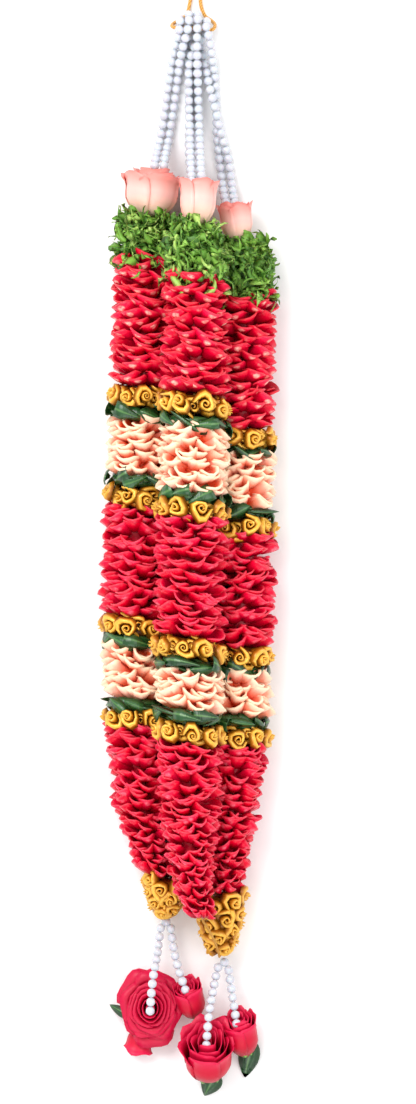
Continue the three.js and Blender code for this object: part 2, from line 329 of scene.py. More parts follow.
# Each neck: its turn's across and drop, the leg that goes up and the leg that comes down.
NECKS = [
    ((-10, 8), [
        (-35, 153.5, 31), (-34, 147, 24), (-32, 137, 12.5), (-29.4, 124, 4.8), (-26.9, 107, 4.3),
        (-21.4, 68, 4.3), (-18.6, 53, 4.3), (-16.4, 43, 6.5), (-13, 30, 13.5), (-11.4, 22, 20),
    ], [
        (-9, 22, 6), (-6.6, 32, 4.7), (-1.6, 60, 4.3), (-1, 95, 4.3), (-1, 140, 4.3),
        (0, 157, 9), (1.4, 171.5, 18.5),
    ]),
    ((-1.2, 4), [
        (-25.8, 153.5, 31), (-24.8, 147, 24), (-22.9, 137, 12.5), (-20.6, 124, 4.8),
        (-18, 107, 4.3), (-14.4, 82, 4.3), (-12, 65, 5.5), (-10.2, 50, 11), (-7, 36, 17.8),
        (-3, 22, 21.8),
    ], [
        (-0.2, 22, 5.4), (3.4, 38, 4.4), (7.2, 62, 4.3), (8, 95, 4.3), (8, 140, 4.3),
        (9, 157, 9), (10.3, 171.5, 18.5),
    ]),
    ((7.6, 4), [
        (11.4, 171, 75), (10.6, 159, 61), (9.9, 140, 40), (9.2, 118, 22.5), (8.7, 98, 13.8),
        (8.1, 80, 13.3), (7.2, 55, 17.5), (6.9, 32, 22.8), (7.2, 20, 22.8),
    ], [
        (7.8, 20, 4.7), (9.8, 28, 4.3), (12.8, 41, 4.3), (15.3, 56, 6), (18.2, 71, 10.2),
        (20.9, 83, 12.4), (25, 98, 13.4), (29.8, 118, 13.2), (33.4, 131, 10.8),
        (37.2, 143, 5.8), (39.6, 156, 5), (41.6, 172, 10), (43.2, 185, 21), (44.2, 190.5, 27),
    ]),
    ((16.4, 11), [
        (35.1, 190.5, 27), (33.9, 185, 21), (32, 172, 10), (30.2, 157, 5), (28.4, 141, 4.3),
        (26.8, 122, 4.3), (26.5, 100, 4.3), (25.6, 80, 4.3), (24.9, 64, 5.6), (22.6, 50, 13),
        (20.8, 36, 19.5), (18.4, 25, 22),
    ], [
        (14.8, 24.4, 11.4), (10, 30, 13.2), (5, 36, 13.6), (0.4, 48, 12.9), (-1.2, 62, 12.8),
        (-1, 98, 13.6), (-0.4, 118, 22.5), (0.2, 140, 40), (1, 159, 61), (1.8, 171, 75),
    ]),
]
# A neck's half turn over the cord: how far below its peak, and how high off the table.
TURN = [(7.5, 21.8), (2.2, 19.6), (0, 14.3), (2.2, 9.0), (7.5, 6.8)]
PENDANT_STRINGS = [
    [
        (-39.6, 999, 48), (-38.6, 985, 51), (-36.6, 968, 47), (-33.4, 950, 34),
        (-31.4, 935, 22), (-29.4, 921, 18), (-27.4, 916.4, 18), (-22.4, 915.8, 18),
        (-19.9, 920, 18), (-18, 932, 17), (-15.4, 948, 19), (-11, 965, 25), (-6.2, 979, 30),
    ], [
        (16.7, 1033.2, 45.5), (17.6, 1020, 48), (19.4, 1004, 43), (22.2, 988, 33),
        (25, 974, 24), (27.2, 965, 19.5), (29.2, 958.6, 18), (33, 955.6, 18), (37, 958.6, 18),
        (39.6, 970, 17.5), (41.6, 984, 20), (43.8, 998, 26), (46.1, 1012.8, 32.7),
    ],
]


def turn_points(peak_x, peak_drop):
    """The half circle that a neck makes over the cord."""
    return [(peak_x, peak_drop + down, high) for down, high in TURN]


def flowing(points):
    """More points on the smooth line through some points: a centripetal Catmull-Rom curve."""
    steps = 6
    ends = [points[0] * 2 - points[1], *points, points[-1] * 2 - points[-2]]
    line = []
    for a, b, c, d in zip(ends, ends[1:], ends[2:], ends[3:]):
        knots = [0.0]
        for near, far in ((a, b), (b, c), (c, d)):
            knots.append(knots[-1] + max((far - near).length, 1e-9) ** 0.5)
        k0, k1, k2, k3 = knots
        for step in range(steps):
            t = k1 + (k2 - k1) * step / steps
            ab = a.lerp(b, (t - k0) / (k1 - k0))
            bc = b.lerp(c, (t - k1) / (k2 - k1))
            cd = c.lerp(d, (t - k2) / (k3 - k2))
            left = ab.lerp(bc, (t - k0) / (k2 - k0))
            right = bc.lerp(cd, (t - k1) / (k3 - k1))
            line.append(left.lerp(right, (t - k1) / (k2 - k1)))
    return [*line, points[-1]]


def length_of(line):
    return sum((b - a).length for a, b in zip(line, line[1:]))


def rope(name, line, thickness):
    """A curve of one open run, as thick as the cord."""
    curve = bpy.data.curves.new(name, "CURVE")
    curve.dimensions = "3D"
    curve.bevel_depth = thickness / 2
    curve.bevel_resolution = 3
    curve.use_fill_caps = True
    run = curve.splines.new("POLY")
    run.points.add(len(line) - 1)
    for point, place in zip(run.points, line):
        point.co = (*place, 1)
    run.use_smooth = True
    return curve


# %% [markdown]
# ## The yellow cord and its knot
# Twisted cotton shows slanting strands. The strands are a band pattern turned askew, which feeds
# the bump and paints shade into the grooves between them. The knot is a ball of rope: three
# rings of the same cord laid over each other, each one a small circle drawn round a larger one
# with spin.

# %% Yellow cord
CORD_THICK = 0.0036
cotton = Finish("yellow_cotton", Roughness=0.8, Sheen_Weight=0.3)
slant = cotton.node("Mapping", None, {"Vector": cotton.place(), "Rotation": (0.4, 0.3, 0.75)})
strands = cotton.node("TexWave", {"wave_type": "BANDS"}, {
    "Vector": slant, "Scale": 160.0, "Distortion": 2.0, "Detail": 2.0}, output="Fac")
# The strands' pattern also paints shade into the grooves between them.
cotton.feed("Base Color", cotton.mix(strands, paint(190, 120, 40), paint(238, 182, 92)))
cotton.bump(strands + cotton.noise(900) * 0.4, 0.6, 0.0006)

cord_line = flowing([at(*point) for point in CORD_ROUTE])
cord = settle(rope("yellow_cord", cord_line, CORD_THICK), "yellow_cord",
              ["hanging_cord"], cotton, "yellow_cord")

# Each ring of the knot: where it faces, and its radius.
KNOT_RINGS = [((0, 1, 0.1), 0.0030), ((1, 0.3, 0.2), 0.0029), ((0.2, 0.4, 1), 0.0026)]


def rope_ring(radius):
    """A closed ring of rope round Z."""
    shape = new_shape()
    circle = bmesh.ops.create_circle(shape, segments=8, radius=0.0015)["verts"]
    upright = Matrix.Translation((radius, 0, 0)) @ Matrix.Rotation(math.pi / 2, 4, "X")
    bmesh.ops.transform(shape, matrix=upright, verts=circle)
    lathed(shape, [*circle, *shape.edges], (0, 0, 1), 20, 1e-6)
    return into_mesh(shape, "rope_ring")


knot_shape = new_shape()
for facing, radius in KNOT_RINGS:
    add_copy(knot_shape, rope_ring(radius), turned(facing, at(*KNOT)), 0.5)
knot = settle(knot_shape, "cord_knot", ["hanging_cord"], cotton, "yellow_cord")
tuple(at(*CORD_ROUTE[0]))
round(length_of(cord_line), 3)
print("yellow cord:", round(length_of(cord_line) / MM), "mm")

# %% [markdown]
# ## Strings of pearl beads
# Each neck is a string of round beads of 9.4 mm on a white thread, which goes from one rose up,
# over the cord and down to the other rose. Two shorter strings hang under the pendants. The
# beads sit at even steps along the thread, close enough to touch, and one more at each end is
# half inside its rose. A bead is a small round of 70 faces, because there are about two hundred.

# %% Pearls
THREAD_THICK = 0.0012
BEAD = 0.0047  # a bead's radius
BEAD_STEP = 0.0091
pearl = Finish("pearl", Roughness=0.22, Coat_Weight=0.6, Coat_Roughness=0.12,
               Subsurface_Weight=0.15, Subsurface_Scale=0.003)
lustre = pearl.mix(pearl.noise(260, 3.0), paint(178, 185, 196), paint(218, 223, 229))
pearl.feed("Base Color", pearl.mix(
    pearl.value("tint") * 0.35, lustre, paint(200, 194, 210)))
pearl.bump(pearl.noise(1400), 0.12, 0.0002)


def thread_finish(name, rough, grain, dark, light):
    """Fine fibres, the same in the colour and in the bump."""
    finish = Finish(name, Roughness=rough)
    fibres = finish.noise(grain)
    finish.feed("Base Color", finish.mix(fibres, dark, light))
    finish.bump(fibres, 0.4, 0.0003)
    return finish


thread_white = thread_finish(
    "white_thread", 0.7, 1800, paint(205, 202, 196), paint(244, 242, 238))
thread_gold = thread_finish(
    "gold_thread", 0.6, 1500, paint(150, 96, 24), paint(214, 158, 58))

bead_shape = new_shape()
bmesh.ops.create_uvsphere(bead_shape, u_segments=10, v_segments=7, radius=BEAD)
bead = into_mesh(bead_shape, "bead")
draw = random.Random(11)


def walk(line, step, start):
    """Places and directions at even steps along a line."""
    left = start
    for a, b in zip(line, line[1:]):
        span = (b - a).length
        while left <= span:
            yield a.lerp(b, left / span), b - a
            left += step
        left -= span


def bead_string(number, points, title, node):
    """A thread with its beads, one step longer at both ends than the thread."""
    line = flowing([at(*point) for point in points])
    thread = settle(rope(f"{title}_thread_{number}", line, THREAD_THICK),
                    f"{title}_thread_{number}", [node], thread_white, "thread")
    total = length_of(line)
    count = int(total / BEAD_STEP)
    beads = new_shape()
    step = total / count
    sunk = [line[0] + (line[0] - line[1]).normalized() * step, *line,
            line[-1] + (line[-1] - line[-2]).normalized() * step]
    spots = list(walk(sunk, step, step / 2))
    for place, direction in spots:
        lean = Vector([draw.uniform(-0.2, 0.2) for _ in range(3)])
        size = draw.uniform(0.97, 1.02)
        add_copy(beads, bead, turned(direction.normalized() + lean, place, 0, size), draw.random())
    strung = settle(beads, f"{title}_beads_{number}", [node], pearl, "pearl")
    print(title, number, "string:", round(total / MM), "mm,", len(spots), "beads")


for number, (peak, up, down) in enumerate(NECKS, 1):
    bead_string(number, [*up, *turn_points(*peak), *down], "neck", f"neck_string_{number}")
for number, points in enumerate(PENDANT_STRINGS, 1):
    bead_string(number, points, "pendant", f"pendant_string_{number}")

# %% [markdown]
# ## The core threads
# The thread that every petal is strung on hardly shows, so its two solids are kept as they are
# and only get a finish.

# %% Core threads
for number in (1, 2):
    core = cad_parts[f"core_thread_{number}"]
    core.data.materials.clear()
    core.data.materials.append(thread_gold.material)

# %% [markdown]
# ## How a column is bent and pressed
# Every column is first built straight. `hang` then moves each vertex: the rings of petals tilt,
# the bundle's middle line wanders and its columns draw together towards the pendants. Columns
# also flatten where they lie on each other and on the table, which `press` does first.

# %% Column helpers
# Each column: its middle's across and height, how much its rings tilt, its top, and the ten
# drops where one stack or band ends and the next begins. All in mm.
COLUMNS = {
    "left": (-50, 33, 0.08, 206, (248, 377, 413, 467, 498, 610, 640, 692, 720, 866)),
    "back": (0, 30, 0.08, 222, (257, 387, 420, 478, 508, 622, 654, 700, 731, 866)),
    "front": (2.5, 85, 0.12, 217, (268, 385, 422, 485, 510, 628, 663, 702, 736, 908)),
    "right": (50, 33, 0.05, 230, (282, 419, 449, 498, 527, 638, 669, 708, 736, 884)),
}
# At some drops: how far the bundle's middle line is off centre, and how wide it spreads.
MIDDLE = [(0, 4), (290, 4), (440, 1), (550, -2), (690, -3), (780, -3), (850, -1), (878, 1),
          (908, 10)]
SPREAD = [(0, 0.95), (290, 0.96), (550, 1.02), (690, 0.99), (790, 0.9), (850, 0.74), (900, 0.6)]
COLUMN_R = 36
NEAR = 2 * COLUMN_R
SKIN = 0.4  # half the gap between two columns that touch
GIVE = 0.9  # the share of an overlap that is pressed away


def between(stops, drop):
    """The value at a drop, eased between the stops on both sides of it."""
    if drop <= stops[0][0]:
        return stops[0][1]
    for (low, first), (high, second) in zip(stops, stops[1:]):
        if drop <= high:
            t = (drop - low) / (high - low)
            return first + (second - first) * t * t * (3 - 2 * t)
    return stops[-1][1]


def press(column, u, w):
    """Holds a point, in mm from the column's middle, off its neighbours and the table."""
    x, z = COLUMNS[column][:2]
    for other, (ox, oz, *_) in COLUMNS.items():
        gap = math.hypot(ox - x, oz - z)
        if other == column or gap >= NEAR:
            continue
        dx, dz = (ox - x) / gap, (oz - z) / gap
        over = u * dx + w * dz - (gap / 2 - SKIN)
        if over > 0:
            u -= over * GIVE * dx
            w -= over * GIVE * dz
    sunk = SKIN - z - w
    if sunk > 0:
        w += sunk * GIVE
    return u, w


def hang(column, piece):
    """Presses and bends a straight column piece: X is u, Z is w and Y is minus the drop, in mm."""
    x, z, slope = COLUMNS[column][:3]
    for vert in piece.verts:
        u, w = press(column, vert.co.x, vert.co.z)
        drop = -vert.co.y
        sideways = between(MIDDLE, drop) + between(SPREAD, drop) * (x + u)
        vert.co = at(sideways, drop + slope * u, z + w)


def ring_place(angle, reach, drop, size=1.0, pitch=0.0, yaw=0.0, roll=0.0):
    """Where a pattern goes on a straight column. Its X points out, its Z up the column."""
    out = Vector((math.cos(angle), 0, math.sin(angle)))
    side = Vector((math.sin(angle), 0, -math.cos(angle)))
    stand = Matrix((out, side, Vector((0, 1, 0)))).transposed().to_4x4()
    lean = Matrix.Rotation(pitch, 4, "Y") @ Matrix.Rotation(yaw, 4, "Z")
    lean = lean @ Matrix.Rotation(roll, 4, "X")
    middle = Vector((0, -drop, 0)) + out * reach
    return Matrix.Translation(middle) @ stand @ lean @ sized(size)


# %% [markdown]
# ## Folded petals
# Each petal is a waxy petal folded into a little boat. It is strung through its narrow end, and
# its open end stands out of the column with a rounded front wall. A flat grid is bent into that
# boat by a formula, then given its thickness, so one petal has only 68 faces. `curl` closes the
# boat's sides, `wall` raises its front, `tuck` draws the front's corners back, `level` keeps the
# corners of the wall low, and `lip` turns the rim outwards. A few different petals are enough:
# copies are turned, tilted and sized at random.

# %% Petal patterns
PETAL_LONG = 31.0
PETAL_THICK = 1.5
ROLL_THICK = 2.0


def mark_inner_half(shape, count, inwards):
    """Marks the sheet or its copy as inside, whichever goes furthest by `inwards`."""
    shape.verts.ensure_lookup_table()
    halves = (shape.verts[:count], shape.verts[count:])
    inner = max(halves, key=lambda half: sum(inwards(vert.co) for vert in half))
    mark(shape, inner, inside=1.0)
    bmesh.ops.recalc_face_normals(shape, faces=shape.faces)


def folded_petal(name, width, curl, wall, tuck, twist=0.0, level=0.3, lip=0.6,
                 thick=PETAL_THICK):
    shape = new_shape()
    bmesh.ops.create_grid(shape, x_segments=6, y_segments=4, size=1)
    along = shape.verts.layers.float["along"]
    across = shape.verts.layers.float["across"]
    for vert in shape.verts:
        u = vert.co.x
        t = (vert.co.y + 1) / 2
        bow = width / 2 / math.sin(min(curl, 1.57)) * (0.3 + 0.7 * t ** 0.75)
        bend = curl * u * (1 - 0.08 * t ** 5)
        flare = lip * t ** 6
        out = PETAL_LONG * t * math.sqrt(1 - tuck * u * u * t * t)
        front = wall * t ** 2.2 * (1 - level * u * u)
        droop = 1 - 0.22 * t ** 3 - 0.5 * u * u * t ** 4
        rise = (bow - (bow + flare) * math.cos(bend)) * droop + front
        rise -= 3.0 * math.sin(math.pi * t)
        vert.co = (out, (bow + flare) * math.sin(bend) + twist * t * t, rise)
        vert[along] = t
        vert[across] = u
    count = len(shape.verts)
    bmesh.ops.recalc_face_normals(shape, faces=shape.faces)
    bmesh.ops.solidify(shape, geom=list(shape.faces), thickness=thick)
    mark_inner_half(shape, count, lambda place: place.z)
    return into_mesh(shape, name)


BROAD_RED = [
    folded_petal("broad_red_a", 24, 1.6, 5.5, 0.62),
    folded_petal("broad_red_b", 22, 1.75, 5.0, 0.62, 2.5),
    folded_petal("broad_red_c", 26, 1.4, 7.0, 0.62, level=0.45),
    folded_petal("broad_red_d", 21, 1.7, 5.0, 0.6, -3.0),
    folded_petal("broad_red_e", 24, 1.5, 6.5, 0.58, level=0.45),
]
NARROW_RED = [
    folded_petal("narrow_red_a", 18, 1.7, 6.0, 0.58, 0.0, 0.1, 0.9),
    folded_petal("narrow_red_b", 19, 1.7, 6.0, 0.58, 2.5, 0.2, 0.9),
    folded_petal("narrow_red_c", 17, 1.85, 5.5, 0.6, -2.5, 0.1, 1.0),
    folded_petal("narrow_red_d", 21, 1.5, 6.5, 0.6, 0.0, 0.3, 0.8),
    folded_petal("narrow_red_e", 19, 1.65, 5.0, 0.52, 0.0, 0.1, 1.0),
]
PEACH_ROLLS = [
    folded_petal("peach_roll_a", 15, 2.2, 6.5, 0.56, 0.0, 0.0, 1.2, ROLL_THICK),
    folded_petal("peach_roll_b", 17, 1.95, 6.5, 0.56, 2.0, 0.1, 1.4, ROLL_THICK),
    folded_petal("peach_roll_c", 14, 2.35, 6.0, 0.56, -2.0, 0.0, 1.2, ROLL_THICK),
    folded_petal("peach_roll_d", 19, 1.75, 7.0, 0.58, 0.0, 0.2, 1.4, ROLL_THICK),
]
print("faces in one petal:", len(BROAD_RED[0].polygons))

# %% [markdown]
# ## Petal finishes
# A petal is deepest in colour towards the thread and inside its fold, which is painted shade,
# and in the peach petals also the deeper salmon of their own inner face. It is palest at its
# lip. The first red stacks show a soft cream painted highlight on the front wall. The later ones
# have a fainter, pinker painted highlight and a thin pale rim, a painted glint, and the peach
# ones a broad pale rim. Every petal leans a little to a lighter or a deeper colour, by its `tint`.

# %% Petal finishes
# The painted highlight on a petal's front wall: where its middle is and how far it spreads.
HIGHLIGHT_AT = 0.86  # the middle of the pale spot, as a share of the petal's length
HIGHLIGHT_LONG = 0.13
HIGHLIGHT_WIDE = 0.3


def petal_finish(name, deep, body, light, pale, spot, rim, lip_width, **steady):
    """`spot` and `rim` are how strongly the pale colour shows: on the wall as a painted highlight,
    and at the lip.
    """
    finish = Finish(name, **steady)
    along = finish.value("along")
    across = finish.value("across")
    inside = finish.value("inside")
    tint = finish.value("tint")
    patches = finish.noise(140, 2.0)
    # Painted shade towards the thread and inside the fold; in the peach petals the inside is also
    # their own salmon.
    out_of_shade = ((along - 0.38) / 0.5 - inside * 0.6 + (patches - 0.5) * 0.5).held()
    colour = finish.mix(out_of_shade, deep, body)
    colour = finish.mix(((tint + patches - 0.75) * 0.9 * along).held(), colour, light)
    # The painted highlight: a soft patch on the front wall, broken up by noise, lighter at its
    # edge and pale in its middle.
    highlight_breakup = finish.noise(330, 2.0)
    sideways = across / HIGHLIGHT_WIDE
    lengthways = (along - HIGHLIGHT_AT) / HIGHLIGHT_LONG
    away = sideways * sideways + lengthways * lengthways
    soft = ((1 - away) * (highlight_breakup * 1.7 - 0.15)).held() * (1 - inside) * (tint * 1.9).held()
    colour = finish.mix((soft * 1.2).held() * spot, colour, light)
    colour = finish.mix(((soft - 0.2) * 1.5).held() * spot, colour, pale)
    # A pale rim at the lip: a painted glint on the red petals, and the peach petals' broad pale
    # rim.
    edge = ((along - 1 + lip_width) * 0.9 / lip_width).held()
    colour = finish.mix((edge * rim * (patches + 0.5)).held(), colour, pale)
    finish.feed("Base Color", colour)
    veins = finish.noise(520, 3.0)
    finish.feed("Roughness", veins * 0.16 + 0.2)
    finish.bump(veins + patches * 0.6, 0.22, 0.0005)
    return finish


# Each finish: the painted shade's colour, the body's, a lighter one, and the pale one of the
# painted highlight and the rim.
broad_red = petal_finish(
    "broad_red_petal", paint(160, 0, 30), paint(226, 0, 46), paint(244, 18, 74),
    paint(255, 206, 184), 0.9, 0.06, 0.07, Specular_IOR_Level=0.25)
narrow_red = petal_finish(
    "narrow_red_petal", paint(158, 0, 30), paint(226, 0, 44), paint(242, 18, 74),
    paint(253, 150, 166), 0.5, 0.16, 0.06, Specular_IOR_Level=0.25)
peach = petal_finish(
    "peach_petal", paint(246, 98, 44), paint(251, 166, 136), paint(252, 186, 168),
    paint(254, 228, 194), 0.5, 1.0, 0.16, Specular_IOR_Level=0.3)

# %% [markdown]
# ## Petal stacks
# Rings of petals are threaded down the column, 10 to 11 mm apart, each ring turned against the
# one above. Under them a ridged sleeve, `heart`, stands for the petals' hidden folded feet. The
# last rings taper towards the pendant.

# %% Petal stacks
FOOT_REACH = 5.0  # how far from the thread a petal's narrow end is
TAPER = 0.2  # how much smaller the petals get down the last stack
# Each stack: its name, the cut it starts at, its petals, finish and slot, the distance between
# its rings in mm, and the number of petals in a ring.
STACKS = [
    ("red_petals_1", 0, BROAD_RED, broad_red, "red_petal", 11.0, 12),
    ("peach_petals_1", 2, PEACH_ROLLS, peach, "peach_petal", 10.2, 15),
    ("red_petals_2", 4, NARROW_RED, narrow_red, "red_petal", 10.4, 14),
    ("peach_petals_2", 6, PEACH_ROLLS, peach, "peach_petal", 10.2, 15),
    ("red_petals_3", 8, NARROW_RED, narrow_red, "red_petal", 10.2, 14),
]


def heart(top, bottom, rows, narrow, wide):
    """The folded feet of the petals round the thread: a ridged sleeve, turned round the column."""
    shape = new_shape()
    step = (bottom - top) / rows
    bore = 5.5
    outline = [(bore, -top)]
    for row in range(rows):
        outline.append((narrow, -(top + step * row + 0.4)))
        outline.append((wide, -(top + step * (row + 0.6))))
    outline += [(narrow, -bottom + 0.4), (bore, -bottom)]
    verts = [shape.verts.new((x, y, 0)) for x, y in outline]
    edges = [shape.edges.new(pair) for pair in zip(verts, verts[1:] + verts[:1])]
    lathed(shape, [*verts, *edges], (0, 1, 0), 12, 0.001)
    # In the petal finish, an `along` of 0.45 gives the sleeve mostly the painted shade.
    mark(shape, shape.verts, along=0.45)
    return into_mesh(shape, "heart")


def petal_stack(column, name, first, patterns, finish, slot, pitch, count):
    """One stack on one column. Gives back how many petals it has."""
    cuts = COLUMNS[column][4]
    top, bottom = cuts[first], cuts[first + 1]
    rows = round((bottom - top) / pitch)
    draw = random.Random(f"{column}{name}")
    piece = new_shape()
    add_copy(piece, heart(top, bottom, rows, narrow=11, wide=17), Matrix.Identity(4), 0.1)
    for row in range(rows):
        drop = top + (row + 0.72) * (bottom - top) / rows
        taper = 1.0
        if name == "red_petals_3":
            taper = 1 - TAPER * ((drop - top) / (bottom - top)) ** 3
        start = draw.uniform(0, ROUND)
        for k in range(count):
            angle = start + (k + draw.uniform(-0.3, 0.3)) * math.tau / count
            where = ring_place(
                angle, FOOT_REACH + draw.uniform(-2.0, 1.5), drop + draw.uniform(-2.8, 2.8),
                taper * draw.uniform(0.9, 1.08), draw.uniform(-0.2, 0.16),
                draw.uniform(-0.2, 0.2), draw.uniform(-0.5, 0.5))
            add_copy(piece, draw.choice(patterns), where, draw.random())
    hang(column, piece)
    settle(piece, f"{column}_{name}_folded", [f"{column}_{name}"], finish, slot)
    return rows * count


for column in COLUMNS:
    made = sum(petal_stack(column, *stack) for stack in STACKS)
    print(column, "column:", made, "petals")

# %% [markdown]
# ## Gold ribbon roses
# The bands are rings of small roses, each one a satin ribbon twisted into a spiral. An outline of
# four points, for the folded ribbon, is drawn out along a widening spiral: high in the middle,
# low outside. Its `across` is 1 on the crest of the fold and low at its foot. The satin paints a
# highlight on the crest and shade down in the grooves between the turns.

# %% Ribbon rose patterns
ROSE_R = 9.0  # how far out the ribbon's last turn runs


def ribbon_rose(name, seed, turns):
    draw = random.Random(seed)
    wave = draw.uniform(0, ROUND)
    lobe = draw.uniform(0.08, 0.16)
    up = Vector((0, 0, 1))
    steps = 24
    shape = new_shape()
    sections = []
    for step in range(steps + 1):
        t = step / steps
        angle = t * turns * math.tau
        ring = ROSE_R ** t * (1 + lobe * math.cos(3 * angle + wave) * t)
        fat = 0.8 * ring * (1 - 0.7 * max(0.0, t - 0.88) / 0.12)
        crest = 8.8 - 4.4 * t ** 1.5 + 1.5 * math.sin(2.3 * angle + wave)
        way = Vector((math.cos(angle), math.sin(angle), 0))
        sections.append([
            way * (ring - fat * 0.7) - up * 0.8,
            way * (ring + fat * 0.1) + up * crest,
            way * (ring + fat * 0.55) + up * (crest - 0.5),
            way * (ring + fat) + up * (crest * 0.25 - 1.5),
        ])
    draw_out(shape, sections, [0.0, 1.0, 0.85, 0.15])
    return into_mesh(shape, name)


RIBBON_ROSES = [ribbon_rose(f"ribbon_rose_{k}", k, 2.0 + 0.13 * k) for k in range(5)]
print("faces in one ribbon rose:", len(RIBBON_ROSES[0].polygons))

satin = Finish("gold_satin", Metallic=0.2, Specular_IOR_Level=0.6)
fold = satin.value("across")
shimmer = satin.noise(240, 2.0)
weave = satin.noise(1500, 2.0, (1.0, 0.25, 1.0))
# Painted shade: the ribbon darkens from its crest down into the grooves between its turns.
low = satin.mix((fold * 1.1).held(), paint(112, 58, 4), paint(212, 136, 14))
# A painted highlight on the crest, broken up by `shimmer`.
satin.feed("Base Color", satin.mix(
    ((fold - 0.55) * (shimmer + 0.5) * 1.9).held(), low, paint(254, 202, 78)))
satin.feed("Roughness", weave * 0.2 + 0.26)
satin.bump(weave + shimmer, 0.3, 0.0005)

# %% [markdown]
# ## Leaf rings
# Next to each gold ring lie dark glossy leaves, each folded or rolled into a cone. A rolled
# leaf's outline is a thick C, drawn out from its wide mouth to its tip and bent round the column.
# A creased leaf's is a flat V. `across` is 0 on the rib and 1 or -1 at the edges, so that the
# finish can draw a pale rib and pale edges.

# %% Leaf patterns
LEAF_THICK = 0.7


def rolled_leaf(name, length, mouth, opening, flat=0.6):
    """A leaf rolled into a cone that lies along Y, round the column."""
    sides, steps = 5, 6
    wide = [2 * k / (sides - 1) - 1 for k in range(sides)]
    shape = new_shape()
    sections = []
    for step in range(steps + 1):
        t = step / steps
        belly = 0.82 + 0.2 * math.sin(math.pi * min(1, t * 1.6)) ** 2
        size = mouth * (1 - 0.82 * t ** 1.4) * belly
        lie = (t - 0.5) * length
        arch = -lie * lie / 62

        def on_arc(share, radius):
            turn = opening * share
            return Vector((arch + flat * radius * math.cos(turn), lie, radius * math.sin(turn)))

        outer = [on_arc(share, size) for share in wide]
        inner = [on_arc(share, size - LEAF_THICK) for share in reversed(wide)]
        sections.append(outer + inner)
    draw_out(shape, sections, wide + wide[::-1])
    return into_mesh(shape, name)


def creased_leaf(name, length, width, crease, steps=7):
    """A pointed leaf, creased along its rib, that lies along Y with its crease outwards."""
    shape = new_shape()
    sections = []
    for step in range(steps + 1):
        t = step / steps
        half = width / 2 * (0.06 + math.sin(math.pi * t ** 0.75) ** 0.85)
        lie = (t - 0.4) * length
        arch = 1.5 - lie * lie / 70
        drop = math.cos(crease) * half
        sections.append([
            Vector((arch - math.sin(crease) * half, lie, drop)),
            Vector((arch, lie, 0)),
            Vector((arch - math.sin(crease) * half, lie, -drop)),
            Vector((arch - 0.8, lie, 0)),
        ])
    draw_out(shape, sections, [1.0, 0.0, -1.0, 0.0])
    return into_mesh(shape, name)


LEAVES = [
    rolled_leaf("rolled_leaf_a", 29, 8.5, 1.7),
    rolled_leaf("rolled_leaf_b", 25, 9.5, 1.3, 0.4),
    rolled_leaf("rolled_leaf_c", 31, 7.0, 2.3),
    creased_leaf("creased_leaf_a", 30, 13, 0.7),
    creased_leaf("creased_leaf_b", 26, 15, 0.4),
    creased_leaf("creased_leaf_c", 33, 11, 1.0),
]
leaf = Finish("glossy_leaf", Specular_IOR_Level=0.6)
rib = leaf.value("across")
side_ribs = leaf.node("TexWave", {"wave_type": "BANDS"}, {
    "Vector": leaf.place(), "Scale": 110.0, "Distortion": 4.0}, output="Fac")
mottle = leaf.noise(120, 3.0)
depth = (mottle + leaf.value("tint") * 0.5 - 0.35).held()
green = leaf.mix(depth, paint(12, 44, 20), paint(42, 102, 46))
green = leaf.mix(((0.14 - abs(rib)) * 9).held() * 0.6, green, paint(100, 146, 78))
edging = ((abs(rib) - 0.8) * 4).held() * 0.5
leaf.feed("Base Color", leaf.mix(edging, green, paint(110, 154, 110)))
leaf.feed("Roughness", mottle * 0.2 + 0.2)
leaf.bump(side_ribs * 0.4 + mottle, 0.3, 0.0006)

# %% [markdown]
# ## The bands
# In bands 1 and 3 the gold ring is above the leaves, and in bands 2 and 4 below, so the leaves
# always lie next to the peach petals. Each ring has an outer round of nine and, in its gaps, an
# inner round that hides the thread.

# %% Bands
BAND_COUNT = 9
GOLD_OUTER, GOLD_INNER = 29.5, 21  # how far from the thread the two rounds are
LEAF_OUTER, LEAF_INNER = 31.5, 24
# Each band: its name, the cut it starts at, and how far down it its gold and its leaves lie.
BANDS = [
    ("band_1", 1, 0.32, 0.82),
    ("band_2", 3, 0.70, 0.18),
    ("band_3", 5, 0.32, 0.82),
    ("band_4", 7, 0.70, 0.18),
]
FACE_OUT = Matrix.Rotation(math.pi / 2, 4, "Y")


def gold_ring(column, name, drop, draw):
    piece = new_shape()
    # The sleeve takes the satin's darkest colour, the painted shade of the grooves.
    sleeve = heart(drop - 9, drop + 9, rows=2, narrow=19, wide=23)
    add_copy(piece, sleeve, Matrix.Identity(4), 0.1)
    start = draw.uniform(0, ROUND)
    for k in range(BAND_COUNT):
        angle = start + (k + draw.uniform(-0.12, 0.12)) * math.tau / BAND_COUNT
        where = ring_place(
            angle, GOLD_OUTER + draw.uniform(-1, 1.5), drop + draw.uniform(-2, 2),
            draw.uniform(1.0, 1.18), draw.uniform(-0.3, 0.3), draw.uniform(-0.3, 0.3))
        outward = where @ FACE_OUT @ Matrix.Rotation(draw.uniform(0, ROUND), 4, "Z")
        add_copy(piece, draw.choice(RIBBON_ROSES), outward, draw.random())
    for k in range(BAND_COUNT):
        angle = start + (k + 0.5) * math.tau / BAND_COUNT
        where = ring_place(angle, GOLD_INNER, drop + draw.uniform(-3, 3), 1.15)
        add_copy(piece, draw.choice(RIBBON_ROSES), where @ FACE_OUT, draw.random())
    hang(column, piece)
    settle(piece, f"{column}_{name}_ribbon_roses", [f"{column}_{name}"], satin, "gold_ribbon")


